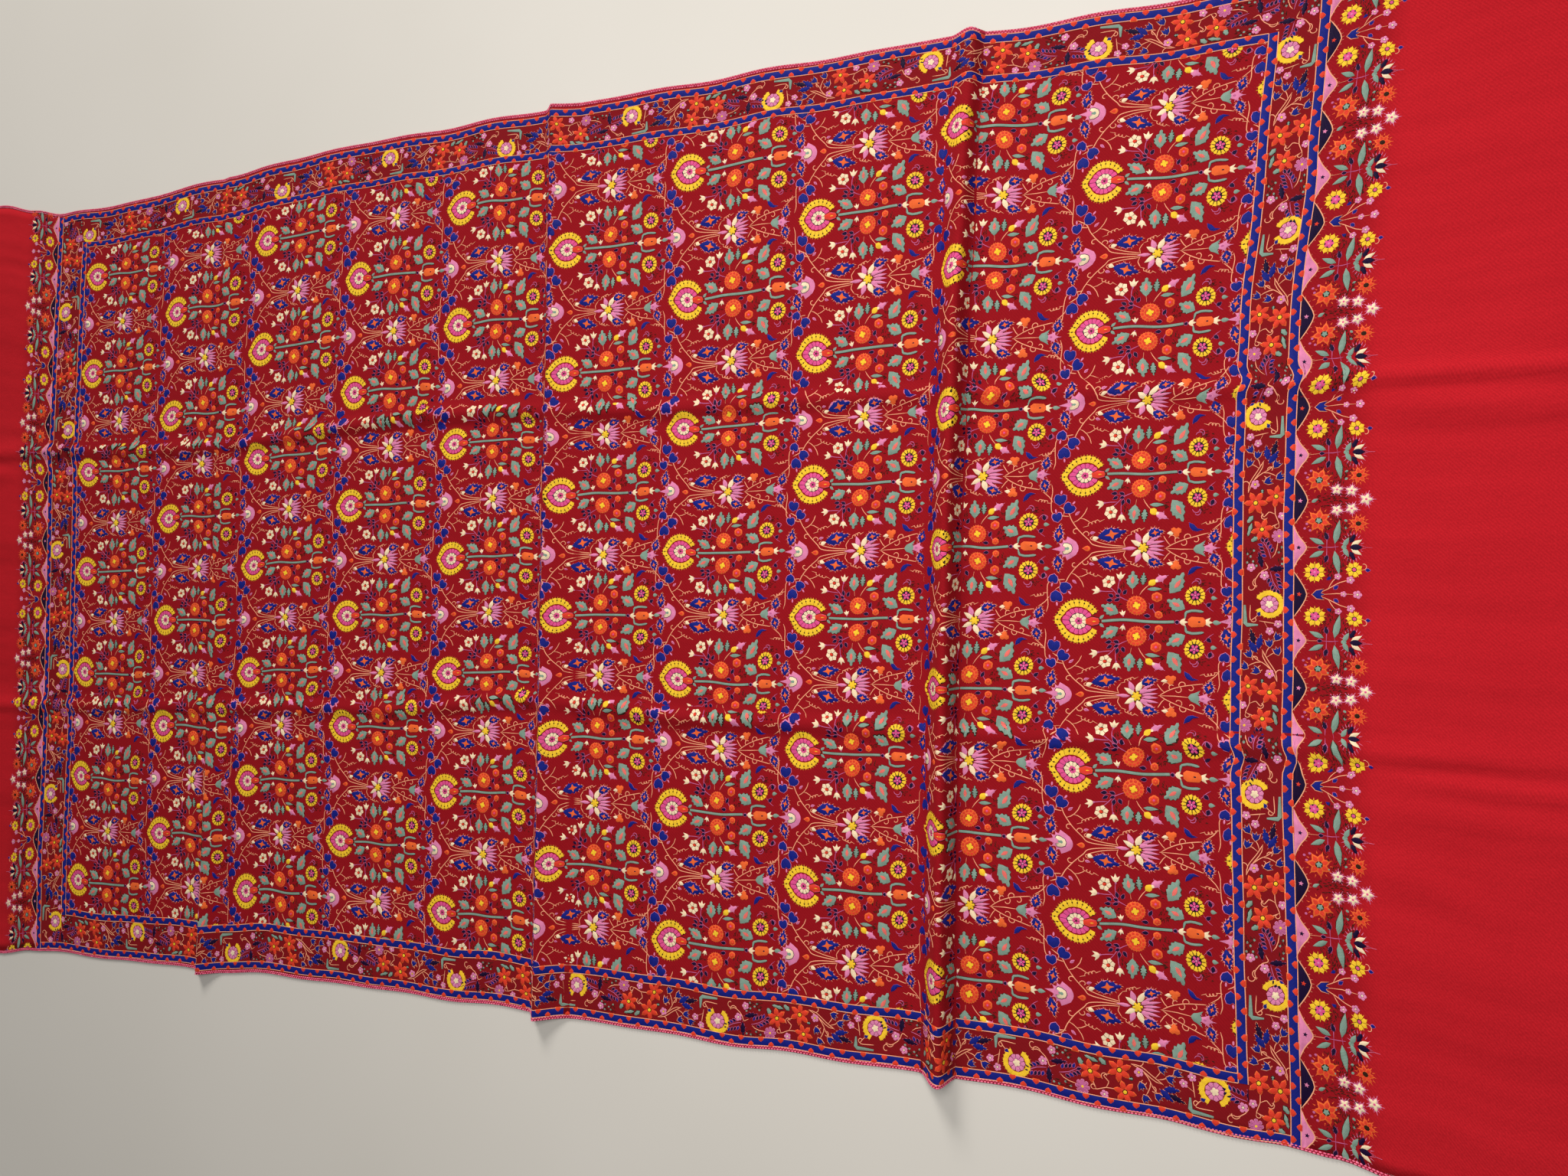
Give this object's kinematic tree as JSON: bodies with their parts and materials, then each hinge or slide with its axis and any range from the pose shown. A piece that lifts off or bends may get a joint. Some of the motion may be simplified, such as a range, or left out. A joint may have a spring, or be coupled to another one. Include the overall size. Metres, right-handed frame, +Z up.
{
  "type": "embroidered pashmina shawl",
  "caption": "Full-size woven shawl laid flat, embroidered middle with borders and plain ends, old fold lines raised, for draping over shoulders or furniture.",
  "frame": {"origin": "middle of the shawl's outline, on the surface that it lies on", "axes": "+X along the length, towards the end past the standing ridge; +Y across the width, towards the back selvedge; +Z up"},
  "size_m": [2.007, 1.0668, 0.0273],
  "materials": {
    "cloth": "fine soft twill in crimson, embroidered in many colours",
    "edging": "two close rows of pink cord stitch"
  },
  "bodies": {
    "root": {"shawl_cloth": "cloth", "front_selvedge_edging": "edging", "back_selvedge_edging": "edging"}
  },
  "joints": []
}
